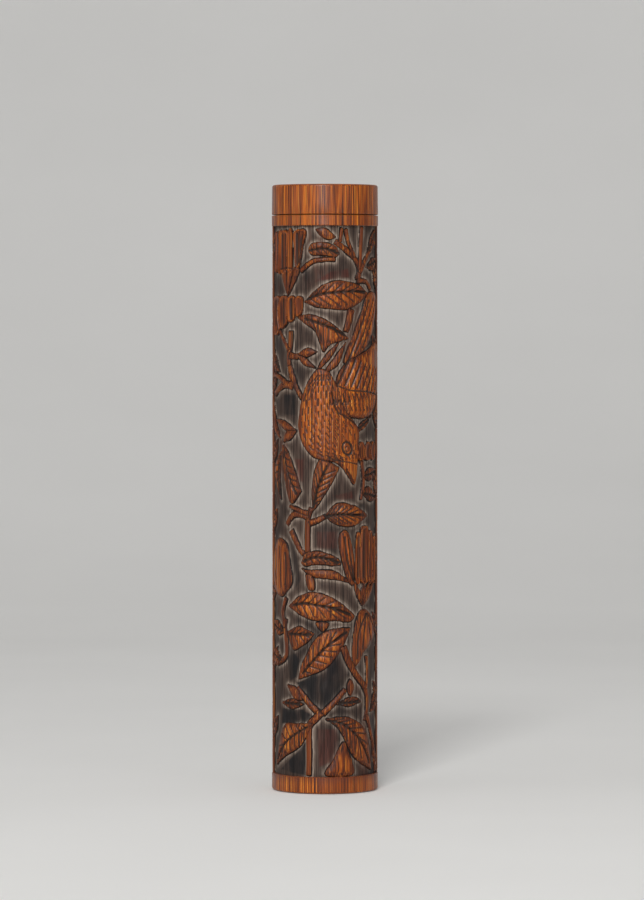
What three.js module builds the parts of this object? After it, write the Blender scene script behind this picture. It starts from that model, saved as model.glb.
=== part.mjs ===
// A large writing brush in its lidded bamboo case. The case is one length of culm, carved all round
// with birds and flowering branches between a plain foot band and a plain neck band.
// Millimetres, +Z up. The case stands on Z = 0 with its axis on Z, and its photographed front faces -Y.
import * as THREE from "three";

// Driving dimensions of the case
const CASE_DIAMETER = 40; // across the plain bands
const CASE_HEIGHT = 228; // foot to the top of the lid
const CULM_WALL = 5.5; // thickness of the bamboo
const LID_HEIGHT = 11.2;
const SEAM_GAP = 0.3; // the dark line under the lid
const NECK_BAND_HEIGHT = 4; // plain band under the lid
const FOOT_BAND_HEIGHT = 6.3; // plain band at the foot
const GROUND_DEPTH = 1.4; // how deep the ground is cut between the bands
const LEDGE_SLOPE = 0.5; // height of the sloped ledge where a band ends
const EDGE_ROUND = 0.8; // rubbed corners of the foot and of the lid's top
const SEAM_ROUND = 0.25; // softened edges at the seam

// Pieces let into the case
const BASE_DISC_THICKNESS = 4.5;
const BASE_DISC_RECESS = 0.8; // the disc stays this far above the foot rim
const BASE_DISC_SHELF = 2.2; // how far the disc reaches under the wall
const LID_DISC_THICKNESS = 3;
const LID_DISC_SHELF = 1.5; // how far the disc reaches over the wall
const LID_DISC_RECESS = 0.2; // the disc stays this far below the lid's rim
const COLLAR_WALL = 1.8;
const COLLAR_IN_TUBE = 9; // length of the collar held in the tube
const COLLAR_IN_LID = 6.4; // length of the collar that the lid slips over
const GLUE_GAP = 0.1; // room for glue round a piece that is let in
const TURNING_GAP = 0.15; // room round the collar, which turns with the lid

// Driving dimensions of the brush
const FINIAL_DIAMETER = 13;
const FINIAL_HEIGHT = 8;
const FINIAL_WAIST_DIAMETER = 9.5; // at the turned groove
const TENON_LENGTH = 6; // peg that enters the stem
const HANDLE_DIAMETER = 12;
const HANDLE_HOLLOW_DIAMETER = 6;
const BRUSH_CLEARANCE = 1; // between the widest part of the brush and the bore
const FERRULE_HEIGHT = 30;
const FERRULE_NECK_DIAMETER = 16;
const FERRULE_WALL = 1.8;
const HANDLE_SOCKET_DEPTH = 9; // length of stem inside the ferrule
const TUFT_CUP_DEPTH = 14; // length of tuft inside the ferrule
const TUFT_LENGTH = 66; // length of tuft beyond the ferrule
const BELLY_INSET = 0.75; // the hair stays this far inside the line of the ferrule
const CORE_DIAMETER = 15; // the stiff hair in the middle
const MANTLE_SHARE = 0.72; // the soft outer hair ends at this share of the tuft
const TIP_DIAMETER = 0.8;
const BINDING_HEIGHT = 3; // thread round the root of the hair
const BINDING_THICKNESS = 0.8;
const BINDING_RISE = 2; // from the root of the hair to the thread
const HAIR_GAP = 0.3; // between the core hair and the hair round it
const REST_GAP = 0.1; // between the brush and the disc that it stands on
const TIP_CLEARANCE = 6.2; // between the tip of the hair and the closed lid

const CASE_FACETS = 64; // sides of a full circle on the case and its fittings
const BRUSH_FACETS = 40; // sides of a full circle on the brush
const CORNER_STEPS = 3; // steps in a rounded corner

// Sizes that follow from them
const caseRadius = CASE_DIAMETER / 2;
const boreRadius = caseRadius - CULM_WALL;
const groundRadius = caseRadius - GROUND_DEPTH;
const lidBottom = CASE_HEIGHT - LID_HEIGHT;
const mouth = lidBottom - SEAM_GAP;
const fieldTop = mouth - NECK_BAND_HEIGHT;
const fieldBottom = FOOT_BAND_HEIGHT;
const baseDiscTop = BASE_DISC_RECESS + BASE_DISC_THICKNESS;
const baseDiscRadius = boreRadius + BASE_DISC_SHELF;
const collarRadius = boreRadius + COLLAR_WALL;
const lidSocketRadius = collarRadius + TURNING_GAP;
const lidDiscRadius = lidSocketRadius + LID_DISC_SHELF;
const lidDiscTop = CASE_HEIGHT - LID_DISC_RECESS;
const lidDiscBottom = lidDiscTop - LID_DISC_THICKNESS;

const finialBottom = baseDiscTop + REST_GAP;
const tuftTip = lidDiscBottom - TIP_CLEARANCE;
const ferruleTop = tuftTip - TUFT_LENGTH;
const ferruleBottom = ferruleTop - FERRULE_HEIGHT;
const tuftRoot = ferruleTop - TUFT_CUP_DEPTH + GLUE_GAP;
const handleBottom = finialBottom + FINIAL_HEIGHT + GLUE_GAP;
const handleTop = ferruleBottom + HANDLE_SOCKET_DEPTH - GLUE_GAP;
const ferruleRadius = boreRadius - BRUSH_CLEARANCE;
const tuftBellyRadius = ferruleRadius - BELLY_INSET;
const tuftRootRadius = ferruleRadius - FERRULE_WALL - GLUE_GAP;

// Materials, one for each finish
const finishes = {
  bamboo: new THREE.MeshStandardMaterial({ color: 0x9c4f1a, roughness: 0.42, metalness: 0 }),
  hardwood: new THREE.MeshStandardMaterial({ color: 0x4a2416, roughness: 0.5, metalness: 0 }),
  stem: new THREE.MeshStandardMaterial({ color: 0xb98a45, roughness: 0.4, metalness: 0 }),
  horn: new THREE.MeshStandardMaterial({ color: 0x17120f, roughness: 0.25, metalness: 0 }),
  softHair: new THREE.MeshStandardMaterial({ color: 0xe6dcc4, roughness: 0.8, metalness: 0 }),
  stiffHair: new THREE.MeshStandardMaterial({ color: 0x7a4a22, roughness: 0.75, metalness: 0 }),
  thread: new THREE.MeshStandardMaterial({ color: 0xc9b184, roughness: 0.9, metalness: 0 }),
};

const object = new THREE.Group();

// A point of a turned profile: distance from the axis, then height.
function at(radius, height) {
  return new THREE.Vector2(radius, height);
}

// Points round a corner of a profile, from one angle to another about a centre.
function corner(radius, height, round, fromDegrees, toDegrees) {
  const points = [];
  for (let i = 0; i <= CORNER_STEPS; i += 1) {
    const angle = THREE.MathUtils.degToRad(fromDegrees + ((toDegrees - fromDegrees) * i) / CORNER_STEPS);
    points.push(at(radius + round * Math.cos(angle), height + round * Math.sin(angle)));
  }
  return points;
}

// Points of a curve through a few profile points.
function smooth(points, steps) {
  return new THREE.SplineCurve(points).getPoints(steps);
}

// A body turned about Z. Its profile runs up the outside and down the inside.
function turned(name, profile, material, facets = CASE_FACETS) {
  const geometry = new THREE.LatheGeometry(profile, facets);
  geometry.rotateX(Math.PI / 2);
  const mesh = new THREE.Mesh(geometry, material);
  mesh.name = name;
  object.add(mesh);
  return mesh;
}

// A turned ring, whose profile closes on itself.
function turnedRing(name, profile, material, facets = CASE_FACETS) {
  return turned(name, [...profile, profile[0].clone()], material, facets);
}

// The culm: a foot rim round the base disc, the sunk field, the neck band and the seat of the collar.
function makeCaseTube() {
  const rebateRadius = baseDiscRadius + GLUE_GAP;
  const shelf = baseDiscTop + GLUE_GAP;
  const seatRadius = collarRadius + TURNING_GAP;
  const seatFloor = mouth - COLLAR_IN_TUBE;
  turnedRing(
    "case_tube",
    [
      at(rebateRadius, 0),
      ...corner(caseRadius - EDGE_ROUND, EDGE_ROUND, EDGE_ROUND, -90, 0),
      at(caseRadius, fieldBottom),
      at(groundRadius, fieldBottom + LEDGE_SLOPE),
      at(groundRadius, fieldTop - LEDGE_SLOPE),
      at(caseRadius, fieldTop),
      ...corner(caseRadius - SEAM_ROUND, mouth - SEAM_ROUND, SEAM_ROUND, 0, 90),
      at(seatRadius, mouth),
      at(seatRadius, seatFloor),
      at(boreRadius, seatFloor),
      at(boreRadius, shelf),
      at(rebateRadius, shelf),
    ],
    finishes.bamboo,
  );
}

function makeBaseDisc() {
  turned(
    "base_disc",
    [
      at(0, BASE_DISC_RECESS),
      at(baseDiscRadius, BASE_DISC_RECESS),
      at(baseDiscRadius, baseDiscTop),
      at(0, baseDiscTop),
    ],
    finishes.hardwood,
  );
}

// The sleeve that the lid slips over. It stands in the tube's mouth.
function makeNeckCollar() {
  const bottom = mouth - COLLAR_IN_TUBE + GLUE_GAP;
  const top = lidBottom + COLLAR_IN_LID;
  turnedRing(
    "neck_collar",
    [
      at(boreRadius, bottom),
      at(collarRadius, bottom),
      ...corner(collarRadius - SEAM_ROUND, top - SEAM_ROUND, SEAM_ROUND, 0, 90),
      ...corner(boreRadius + SEAM_ROUND, top - SEAM_ROUND, SEAM_ROUND, 90, 180),
    ],
    finishes.bamboo,
  );
}

// The lid's wall is sawn from the same culm, with a socket below and a seat for its disc above.
function makeLidRing() {
  const seatRadius = lidDiscRadius + GLUE_GAP;
  const seat = lidDiscBottom - GLUE_GAP;
  turnedRing(
    "lid_ring",
    [
      at(lidSocketRadius, lidBottom),
      ...corner(caseRadius - SEAM_ROUND, lidBottom + SEAM_ROUND, SEAM_ROUND, -90, 0),
      ...corner(caseRadius - EDGE_ROUND, CASE_HEIGHT - EDGE_ROUND, EDGE_ROUND, 0, 90),
      at(seatRadius, CASE_HEIGHT),
      at(seatRadius, seat),
      at(lidSocketRadius, seat),
    ],
    finishes.bamboo,
  );
}

function makeLidDisc() {
  turned(
    "lid_disc",
    [
      at(0, lidDiscBottom),
      at(lidDiscRadius, lidDiscBottom),
      at(lidDiscRadius, lidDiscTop),
      at(0, lidDiscTop),
    ],
    finishes.hardwood,
  );
}

// The horn knob at the butt of the stem, with its peg.
function makeFinial() {
  const radius = FINIAL_DIAMETER / 2;
  const waist = FINIAL_WAIST_DIAMETER / 2;
  const tenonRadius = HANDLE_HOLLOW_DIAMETER / 2 - GLUE_GAP;
  const top = finialBottom + FINIAL_HEIGHT;
  const outline = smooth(
    [
      at(radius * 0.6, finialBottom),
      at(radius, finialBottom + FINIAL_HEIGHT * 0.3),
      at(waist, finialBottom + FINIAL_HEIGHT * 0.68),
      at(HANDLE_DIAMETER / 2, top - FINIAL_HEIGHT * 0.12),
    ],
    8,
  );
  turned(
    "brush_finial",
    [
      at(0, finialBottom),
      ...outline,
      at(HANDLE_DIAMETER / 2, top),
      at(tenonRadius, top),
      at(tenonRadius, top + TENON_LENGTH),
      at(0, top + TENON_LENGTH),
    ],
    finishes.horn,
    BRUSH_FACETS,
  );
}

// The bamboo stem, with its natural hollow.
function makeHandle() {
  turnedRing(
    "brush_handle",
    [
      at(HANDLE_HOLLOW_DIAMETER / 2, handleBottom),
      at(HANDLE_DIAMETER / 2, handleBottom),
      at(HANDLE_DIAMETER / 2, handleTop),
      at(HANDLE_HOLLOW_DIAMETER / 2, handleTop),
    ],
    finishes.stem,
    BRUSH_FACETS,
  );
}

// The horn bowl that joins stem and hair: a socket below and a cup above.
function makeFerrule() {
  const radius = ferruleRadius;
  const socketRadius = HANDLE_DIAMETER / 2 + GLUE_GAP;
  const cupRadius = radius - FERRULE_WALL;
  const socketTop = ferruleBottom + HANDLE_SOCKET_DEPTH;
  const cupFloor = ferruleTop - TUFT_CUP_DEPTH;
  const outline = smooth(
    [
      at(FERRULE_NECK_DIAMETER / 2, ferruleBottom),
      at(FERRULE_NECK_DIAMETER / 2, ferruleBottom + FERRULE_HEIGHT * 0.12),
      at(radius * 0.8, ferruleBottom + FERRULE_HEIGHT * 0.38),
      at(radius * 0.98, ferruleBottom + FERRULE_HEIGHT * 0.72),
      at(radius, ferruleTop),
    ],
    10,
  );
  turned(
    "brush_ferrule",
    [
      at(0, socketTop),
      at(socketRadius, socketTop),
      at(socketRadius, ferruleBottom),
      ...outline,
      at(cupRadius, ferruleTop),
      at(cupRadius, cupFloor),
      at(0, cupFloor),
    ],
    finishes.horn,
    BRUSH_FACETS,
  );
}

// Radius of the whole tuft at a share of its free length, from the ferrule to the tip.
function tuftRadius(share) {
  const belly = tuftBellyRadius;
  const tip = TIP_DIAMETER / 2;
  const swell = THREE.MathUtils.smoothstep(share, 0, 0.2);
  const taper = 1 - THREE.MathUtils.clamp((share - 0.2) / 0.8, 0, 1) ** 1.9;
  return tip + (THREE.MathUtils.lerp(tuftRootRadius, belly, swell) - tip) * Math.sqrt(taper) ** 1.4;
}

// Radius of the stiff hair in the middle. Beyond the mantle it is the whole tuft.
function coreRadius(share) {
  const full = tuftRadius(share);
  const inside = Math.min(CORE_DIAMETER / 2, full * 0.7);
  const free = THREE.MathUtils.smoothstep(share, MANTLE_SHARE - 0.06, MANTLE_SHARE + 0.04);
  return THREE.MathUtils.lerp(inside, full, free);
}

// Stiff brown hair: the middle of the tuft and its whole tip.
function makeCoreHair() {
  const steps = 14;
  const profile = [at(0, tuftRoot), at(CORE_DIAMETER / 2, tuftRoot)];
  for (let i = 0; i <= steps; i += 1) {
    profile.push(at(coreRadius(i / steps), ferruleTop + (TUFT_LENGTH * i) / steps));
  }
  profile.push(at(0, tuftTip));
  turned("brush_core_hair", profile, finishes.stiffHair, BRUSH_FACETS);
}

// Soft pale hair laid round the core, tied at its root.
function makeMantleHair() {
  const steps = 10;
  const outside = [];
  const inside = [];
  for (let i = 0; i <= steps; i += 1) {
    const share = (i / steps) * MANTLE_SHARE;
    const height = ferruleTop + TUFT_LENGTH * share;
    const inner = coreRadius(share) + HAIR_GAP;
    outside.push(at(Math.max(tuftRadius(share), inner + HAIR_GAP), height));
    inside.unshift(at(inner, height));
  }
  const bindingBottom = tuftRoot + BINDING_RISE;
  const bindingTop = bindingBottom + BINDING_HEIGHT;
  const tiedRadius = tuftRootRadius - BINDING_THICKNESS;
  turnedRing(
    "brush_mantle_hair",
    [
      at(CORE_DIAMETER / 2 + HAIR_GAP, tuftRoot),
      at(tuftRootRadius, tuftRoot),
      at(tuftRootRadius, bindingBottom),
      at(tiedRadius, bindingBottom),
      at(tiedRadius, bindingTop),
      at(tuftRootRadius, bindingTop),
      ...outside,
      ...inside,
    ],
    finishes.softHair,
    BRUSH_FACETS,
  );
}

function makeBinding() {
  const bottom = tuftRoot + BINDING_RISE + GLUE_GAP;
  const top = bottom + BINDING_HEIGHT - 2 * GLUE_GAP;
  const inner = tuftRootRadius - BINDING_THICKNESS + GLUE_GAP;
  turnedRing(
    "tuft_binding",
    [at(inner, bottom), at(tuftRootRadius, bottom), at(tuftRootRadius, top), at(inner, top)],
    finishes.thread,
    BRUSH_FACETS,
  );
}

makeCaseTube();
makeBaseDisc();
makeNeckCollar();
makeLidRing();
makeLidDisc();
makeFinial();
makeHandle();
makeFerrule();
makeCoreHair();
makeMantleHair();
makeBinding();

export default object;
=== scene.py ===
import math

import bpy
import numpy as np
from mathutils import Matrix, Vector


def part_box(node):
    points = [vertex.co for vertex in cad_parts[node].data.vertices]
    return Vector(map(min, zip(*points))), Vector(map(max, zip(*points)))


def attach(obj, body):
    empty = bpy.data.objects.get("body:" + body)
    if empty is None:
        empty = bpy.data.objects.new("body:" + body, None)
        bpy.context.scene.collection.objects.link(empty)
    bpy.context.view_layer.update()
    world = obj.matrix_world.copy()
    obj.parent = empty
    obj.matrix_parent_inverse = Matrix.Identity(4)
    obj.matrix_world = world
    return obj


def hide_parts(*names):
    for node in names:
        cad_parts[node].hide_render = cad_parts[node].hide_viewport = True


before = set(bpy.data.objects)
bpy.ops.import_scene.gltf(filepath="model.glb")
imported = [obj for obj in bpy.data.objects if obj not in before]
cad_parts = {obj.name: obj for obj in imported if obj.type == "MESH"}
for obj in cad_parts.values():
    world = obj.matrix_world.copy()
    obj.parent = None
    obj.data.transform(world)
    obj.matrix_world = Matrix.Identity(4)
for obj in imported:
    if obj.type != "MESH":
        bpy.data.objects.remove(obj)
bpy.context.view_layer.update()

# Lengths are in millimetres on the object's own axes and become metres where a mesh is made.
# The front of the case faces -Y. On its curved wall a place is (s, z): s is the length along the
# surface from the front centre line, positive to the viewer's right, and z is the height.
MM = 0.001


def size_of(node):
    """Outer radius, lowest and highest level of a turned CAD node, in mm."""
    low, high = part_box(node)
    return high[0] / MM, low[2] / MM, high[2] / MM


# Sizes read from the frame
CASE_RADIUS, FOOT, MOUTH = size_of("case_tube")
LID_RADIUS, LID_BOTTOM, LID_TOP = size_of("lid_ring")
BASE_RADIUS, BASE_BOTTOM, BASE_TOP = size_of("base_disc")
COLLAR_RADIUS, COLLAR_BOTTOM, COLLAR_TOP = size_of("neck_collar")
DISC_RADIUS, DISC_BOTTOM, DISC_TOP = size_of("lid_disc")
KNOB_RADIUS, KNOB_BOTTOM, KNOB_TOP = size_of("brush_finial")
STEM_RADIUS, STEM_BOTTOM, STEM_TOP = size_of("brush_handle")
BOWL_RADIUS, BOWL_BOTTOM, BOWL_TOP = size_of("brush_ferrule")
THREAD_RADIUS, THREAD_BOTTOM, THREAD_TOP = size_of("tuft_binding")
HAIR_ROOT, MANTLE_TOP = size_of("brush_mantle_hair")[1:]
CORE_ROOT, HAIR_TIP = size_of("brush_core_hair")[1:]

# Sizes inside the case, as on the CAD pieces
WALL = 5.5
BORE = CASE_RADIUS - WALL
FOOT_BAND = 6.3
NECK_BAND = 4.0
GROUND_DEPTH = 1.4
FIT = 0.1
GIRTH = math.tau * CASE_RADIUS
FIELD_BOTTOM = FOOT + FOOT_BAND
FIELD_TOP = MOUTH - NECK_BAND
SKIN_BACK = CASE_RADIUS - GROUND_DEPTH - 0.4

# The grid that carries the carving: its spacing, how far from an edge the ground's colour still
# changes, the width of the cut beside an edge, and how many pieces the carved field is made in
CELL = 0.3
HALO = 3.0
MOAT = 0.42
SECTIONS = 4

# How the carving stands: the lowest height that counts as standing, what is left of it beside a nearer
# shape, how much lower an edge is than its middle, and the mean height of the scraped ground
STANDING = 0.3
BESIDE_EDGE = 0.55
EDGE_DROP = 0.42
GROUND_LEVEL = 0.07


# Modelling helpers

def finish_piece(piece, node, body, material, smooth_angle=38):
    """Shades a piece, gives it its material and puts it in place of its CAD node."""
    bpy.ops.object.select_all(action="DESELECT")
    piece.select_set(True)
    bpy.context.view_layer.objects.active = piece
    if smooth_angle:
        bpy.ops.object.shade_smooth_by_angle(angle=math.radians(smooth_angle))
    piece.data.materials.clear()
    piece.data.materials.append(material)
    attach(piece, body)
    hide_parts(node)


def add_object(name, data):
    added = bpy.data.objects.new(name, data)
    bpy.context.scene.collection.objects.link(added)
    return added


def turned(name, profile, steps=128, bevel=0.0):
    """Spins a profile of (radius, height) points round the axis, as on a lathe."""
    bpy.ops.object.select_all(action="DESELECT")
    bpy.ops.mesh.primitive_plane_add(size=MM, location=(0, 0, 0))
    piece = bpy.context.object
    piece.name = name
    bpy.ops.object.mode_set(mode="EDIT")
    bpy.ops.mesh.select_all(action="SELECT")
    bpy.ops.mesh.merge(type="CENTER")
    radius, height = profile[0]
    bpy.ops.transform.translate(value=(radius * MM, 0, height * MM))
    for (r0, z0), (r1, z1) in zip(profile, profile[1:]):
        step = ((r1 - r0) * MM, 0, (z1 - z0) * MM)
        bpy.ops.mesh.extrude_vertices_move(TRANSFORM_OT_translate={"value": step})
    bpy.ops.mesh.select_all(action="SELECT")
    bpy.ops.mesh.spin(steps=steps, angle=math.tau, center=(0, 0, 0), axis=(0, 0, 1))
    bpy.ops.mesh.select_all(action="SELECT")
    bpy.ops.mesh.remove_doubles(threshold=MM * 0.002)
    bpy.ops.mesh.normals_make_consistent(inside=False)
    bpy.ops.object.mode_set(mode="OBJECT")
    if bevel:
        rounding = piece.modifiers.new("rubbed edges", "BEVEL")
        rounding.width = bevel * MM
        rounding.segments = 2
        rounding.limit_method = "ANGLE"
        rounding.angle_limit = math.radians(28)
        bpy.ops.object.modifier_apply(modifier=rounding.name)
    return piece


def arc(radius, height, round_over, first, last, steps=6):
    """Profile points of a rounded corner, by its angles in degrees."""
    angles = [math.radians(first + (last - first) * i / steps) for i in range(steps + 1)]
    return [(radius + round_over * math.cos(a), height + round_over * math.sin(a)) for a in angles]


def curve(points, closed=False, steps=5):
    """A smooth line through a few points."""
    count = len(points)
    line = []
    for i in range(count if closed else count - 1):
        if closed:
            around = [points[(i + k) % count] for k in (-1, 0, 1, 2)]
        else:
            around = [points[min(max(i + k, 0), count - 1)] for k in (-1, 0, 1, 2)]
        a, b, c, d = (np.array(p, float) for p in around)
        for k in range(steps):
            t = k / steps
            place = 0.5 * (2 * b + (c - a) * t + (2 * a - 5 * b + 4 * c - d) * t ** 2
                           + (3 * b - a - 3 * c + d) * t ** 3)
            line.append((float(place[0]), float(place[1])))
    if not closed:
        line.append((float(points[-1][0]), float(points[-1][1])))
    return line


def along(line, share):
    """The point at a share of a line's points."""
    place = min(max(share, 0.0), 1.0) * (len(line) - 1)
    index = min(int(place), len(line) - 2)
    part = place - index
    (s0, z0), (s1, z1) = line[index], line[index + 1]
    return s0 + (s1 - s0) * part, z0 + (z1 - z0) * part


# The carving is worked out on a fine grid laid round the case

columns = round(GIRTH / CELL)
rows = round((FIELD_TOP - FIELD_BOTTOM) / CELL) + 1
s_axis = np.linspace(-GIRTH / 2, GIRTH / 2, columns, endpoint=False)
z_axis = np.linspace(FIELD_BOTTOM, FIELD_TOP, rows)
grid_s, grid_z = np.meshgrid(s_axis, z_axis)
relief = np.zeros_like(grid_s)
nearest = np.full_like(grid_s, HALO)
cuts = np.zeros_like(grid_s)
shift_s = np.zeros_like(grid_s)
shift_z = np.zeros_like(grid_s)
ground_tints = np.full_like(grid_s, 0.5)
side = {"centre": 0.0}


def placed(points):
    """Points of a motif on the side of the case that is being carved."""
    return [(side["centre"] + s, z) for s, z in points]


def windows(points, margin):
    """The parts of the grid near some points, on each side of the line where the grid closes."""
    s_low = min(p[0] for p in points) - margin
    s_high = max(p[0] for p in points) + margin
    z_low = min(p[1] for p in points) - margin
    z_high = max(p[1] for p in points) + margin
    across = np.nonzero((z_axis > z_low) & (z_axis < z_high))[0]
    for turn in (-GIRTH, 0.0, GIRTH):
        round_about = np.nonzero((s_axis > s_low + turn) & (s_axis < s_high + turn))[0]
        if len(across) and len(round_about):
            yield np.s_[across[0]:across[-1] + 1, round_about[0]:round_about[-1] + 1], turn


def distance_to(line, s, z, closed=False):
    """How far each place is from a line, and the nearest point of it."""
    best = np.full(s.shape, 1e9)
    best_s = np.zeros(s.shape)
    best_z = np.zeros(s.shape)
    ends = line[1:] + line[:1] if closed else line[1:]
    for (s0, z0), (s1, z1) in zip(line, ends):
        ds, dz = s1 - s0, z1 - z0
        share = np.clip(((s - s0) * ds + (z - z0) * dz) / max(ds * ds + dz * dz, 1e-9), 0, 1)
        distance = np.hypot(s - s0 - share * ds, z - z0 - share * dz)
        closer = distance < best
        best = np.where(closer, distance, best)
        best_s = np.where(closer, s0 + share * ds, best_s)
        best_z = np.where(closer, z0 + share * dz, best_z)
    return best, best_s, best_z


def inside(outline, s, z):
    """Whether each place is inside a closed outline."""
    result = np.zeros(s.shape, bool)
    for (s0, z0), (s1, z1) in zip(outline, outline[1:] + outline[:1]):
        if z0 != z1:
            crosses = (z0 > z) != (z1 > z)
            result ^= crosses & (s < s0 + (z - z0) * (s1 - s0) / (z1 - z0))
    return result


def raise_shape(outline, form):
    """Leaves an outline standing. form gives its height from the distance to its edge."""
    outline = placed(outline)
    for part, turn in windows(outline, HALO):
        s = grid_s[part] - turn
        z = grid_z[part]
        distance, edge_s, edge_z = distance_to(outline, s, z, closed=True)
        within = inside(outline, s, z) | (distance < CELL / 2)
        height = form(distance)
        on_top = within & (height > relief[part])
        beside = ~within & (distance < MOAT) & (relief[part] > STANDING)
        snapped = on_top & (distance < CELL / 2)
        worn = np.where(beside, relief[part] * BESIDE_EDGE, relief[part])
        relief[part] = np.where(on_top, height, worn)
        cuts[part] = np.where(on_top, 0, np.where(beside, 1, cuts[part]))
        nearest[part] = np.where(within, 0, np.minimum(nearest[part], distance))
        shift_s[part] = np.where(snapped, edge_s - s, np.where(on_top, 0, shift_s[part]))
        shift_z[part] = np.where(snapped, edge_z - z, np.where(on_top, 0, shift_z[part]))


def groove(line, width=0.5, depth=0.3):
    """Cuts a line into what stands."""
    line = placed(line)
    for part, turn in windows(line, 3 * width):
        distance = distance_to(line, grid_s[part] - turn, grid_z[part])[0]
        bite = np.exp(-(distance / (0.5 * width)) ** 2) * (relief[part] > 0.25)
        relief[part] -= depth * bite
        cuts[part] = np.maximum(cuts[part], bite)


def tint_ground(outline, amount):
    """Marks ground that is darker, near 0, or redder, near 1, than the rest, fading in from its outline."""
    outline = placed(outline)
    for part, turn in windows(outline, 0.5):
        s = grid_s[part] - turn
        z = grid_z[part]
        distance = distance_to(outline, s, z, closed=True)[0]
        strength = np.where(inside(outline, s, z), np.clip(distance / 1.2, 0, 1), 0)
        ground_tints[part] += (amount - ground_tints[part]) * strength


def crowned(level, reach=1.4):
    """A shape that is highest in its middle."""
    return lambda distance: level * (1 - EDGE_DROP * np.exp(-distance / reach))


def hollowed(level, reach=0.9):
    """A shape that is highest at its edge."""
    return lambda distance: level * (1 - EDGE_DROP * (1 - np.exp(-distance / reach)))


def stem(points, width, level=1.15):
    """A round twig along a few points, tapering a little to its end."""
    line = curve(points)
    left, right = [], []
    for i, (s, z) in enumerate(line):
        s0, z0 = line[max(i - 1, 0)]
        s1, z1 = line[min(i + 1, len(line) - 1)]
        length = max(math.hypot(s1 - s0, z1 - z0), 1e-6)
        half = 0.5 * width * (1.1 - 0.3 * i / len(line))
        left.append((s - (z1 - z0) / length * half, z + (s1 - s0) / length * half))
        right.append((s + (z1 - z0) / length * half, z - (s1 - s0) / length * half))
    raise_shape(left + right[::-1], crowned(level, width * 0.35))


def leaf(base, tip, upper, lower, midrib=None, veins=5, level=1.25, cut_tip=None):
    """A leaf from base to tip along two edges, with a cut midrib and veins slanting off it.
    The lower edge ends at cut_tip where the tip is hidden."""
    over = curve([base, *upper, tip])
    under = curve([base, *lower, cut_tip or tip])
    raise_shape(over + under[::-1], crowned(level))
    if midrib:
        middle = curve(midrib)
        groove(middle, 1.0, 0.6)
        for i in range(veins):
            share = (i + 0.6) / (veins + 1.4)
            s0, z0 = along(middle, share)
            for edge in (over, under):
                s1, z1 = along(edge, share + 0.17)
                groove([(s0, z0), (s0 + 0.8 * (s1 - s0), z0 + 0.8 * (z1 - z0))], 0.6, 0.34)


def petal(outline, level=1.3, form=hollowed, grooves=()):
    """A shape inside a smooth closed outline, with lines cut into it."""
    raise_shape(curve(outline, closed=True), form(level))
    for line in grooves:
        groove(curve(line), 0.85, 0.5)


def carve_upper_flower():
    petal([(-25.4, 196), (-24.9, 203), (-24.6, 209.5), (-23.6, 209.5), (-23.6, 203), (-23.9, 196)])
    petal([(-22, 195.5), (-21.7, 203), (-21.3, 210), (-20.3, 210), (-20.3, 203), (-20.6, 195.5)])
    petal([(-20, 195.5), (-20.2, 203), (-20, 209.8), (-18, 210.7), (-16.3, 209.8), (-16.4, 203),
           (-16.6, 195.5)], grooves=[[(-19.3, 196.5), (-19.4, 209)], [(-17.3, 196.5), (-17.1, 209)]])
    petal([(-15.9, 196), (-15.8, 204), (-15.5, 210.6), (-13.9, 210.6), (-13.8, 204), (-14.1, 196)])
    petal([(-11.8, 196.5), (-12.4, 203), (-12.7, 209.6), (-10.3, 211), (-7.7, 210.2), (-9.1, 204),
           (-10.5, 197.5)], grooves=[[(-11.2, 198), (-11.2, 209.5)], [(-10.4, 199), (-9, 209)]])
    leaf((-16.5, 186.6), (-20.8, 196), [(-19, 191.5)], [(-17, 192)], cut_tip=(-17.2, 196.3))
    leaf((-16.3, 186.6), (-16.4, 196.6), [(-16.6, 192)], [(-15, 191.5)], cut_tip=(-13.6, 196))
    leaf((-15.6, 187), (-13, 197), [(-14, 192)], [(-12.6, 191.5)], cut_tip=(-10.4, 196))
    petal([(-26.6, 185), (-27, 178), (-25.4, 171.8), (-21.4, 173.6), (-22.6, 180), (-21.2, 185.6)],
          grooves=[[(-24.6, 184.5), (-24.8, 178), (-23.6, 173.5)]])
    petal([(-20.4, 185.6), (-21.8, 180), (-20.2, 174.2), (-16.9, 176), (-16.2, 181), (-16.2, 185.6)],
          grooves=[[(-18.6, 185), (-19, 180), (-18.4, 175.5)]])
    petal([(-15.7, 185.6), (-16, 181), (-15.4, 176.6), (-12.8, 177.6), (-12.3, 181.5), (-12.5, 185.6)],
          grooves=[[(-14.2, 185), (-14.3, 181), (-14, 177.6)]])
    petal([(-11.9, 185.6), (-11.8, 181.5), (-11.4, 178.6), (-9.3, 180), (-8.9, 183), (-9.2, 185.6)])


def carve_top_twigs():
    stem([(4, 206.5), (9, 203), (13, 199.5), (14.6, 196), (13.5, 192.5)], 1.7)
    stem([(6, 206.6), (6.7, 211.4)], 1.1)
    stem([(8.4, 211), (9.6, 206), (12.5, 201)], 1.2)
    stem([(16, 212), (15.2, 200), (14.5, 191)], 1.6)
    stem([(15.2, 195), (20, 202), (26, 206.5)], 1.5)
    stem([(15, 192), (19, 191.5), (22, 188.5)], 1.4)
    leaf((20, 203), (26.5, 211), [(22, 208)], [(24, 205)], [(20.5, 203.5), (25.5, 209.5)], 3)
    leaf((19, 197), (29, 200.5), [(23, 200)], [(24, 196)], [(20, 197.4), (27.5, 199.6)], 4)
    stem([(-10, 195.5), (-5, 199), (0, 199.8), (4, 199.8)], 1.3)
    leaf((-6.5, 203), (5.7, 202), [(-6, 204.8), (-4, 206), (0, 206), (4, 204.6)], [(-5, 201.7),
         (0, 201.5), (4, 200.9)], [(-5.8, 203.2), (0, 203.9), (5, 202.2)], 5)
    leaf((-3.6, 211), (4.2, 208.2), [(0, 211.4)], [(-1, 208.2), (2, 207.4)])


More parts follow.
